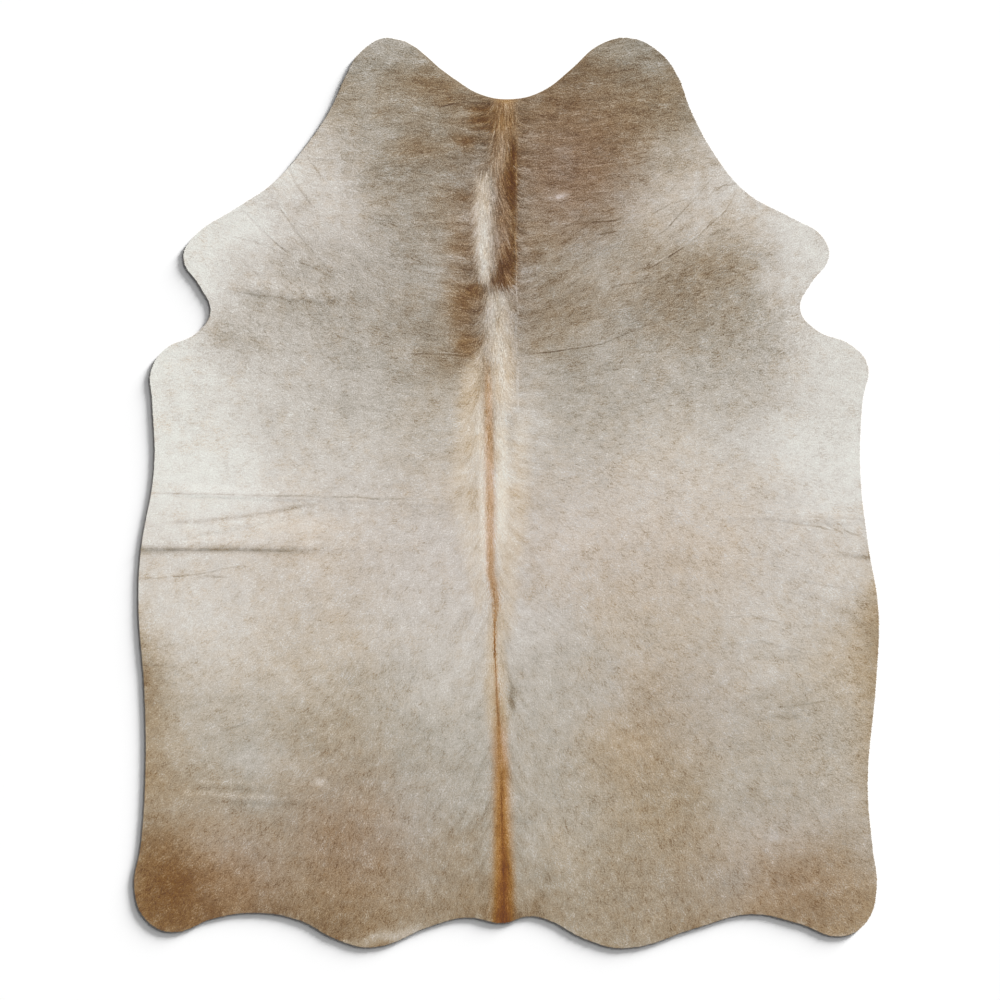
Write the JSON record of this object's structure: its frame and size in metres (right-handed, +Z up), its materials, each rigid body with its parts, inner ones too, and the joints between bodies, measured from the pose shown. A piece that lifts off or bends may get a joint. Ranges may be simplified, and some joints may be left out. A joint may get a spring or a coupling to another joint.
{
  "type": "hair-on cowhide rug",
  "caption": "Hair-on leather hide laid flat as a rug: one sheet with a free animal outline, a cream and taupe coat, a russet stripe along the spine and low storage folds.",
  "frame": {"origin": "on the floor under the middle of the hide's bounding box", "axes": "+Z up out of the coat, +Y along the spine towards the neck, +X across the hide to the right as seen from above with the neck away from the viewer"},
  "size_m": [1.8, 2.2, 0.0095],
  "materials": {
    "hide": "matt, short hair coat in cream, champagne and taupe over a pale suede flesh side"
  },
  "bodies": {
    "root": {"hide": "hide"}
  },
  "joints": []
}
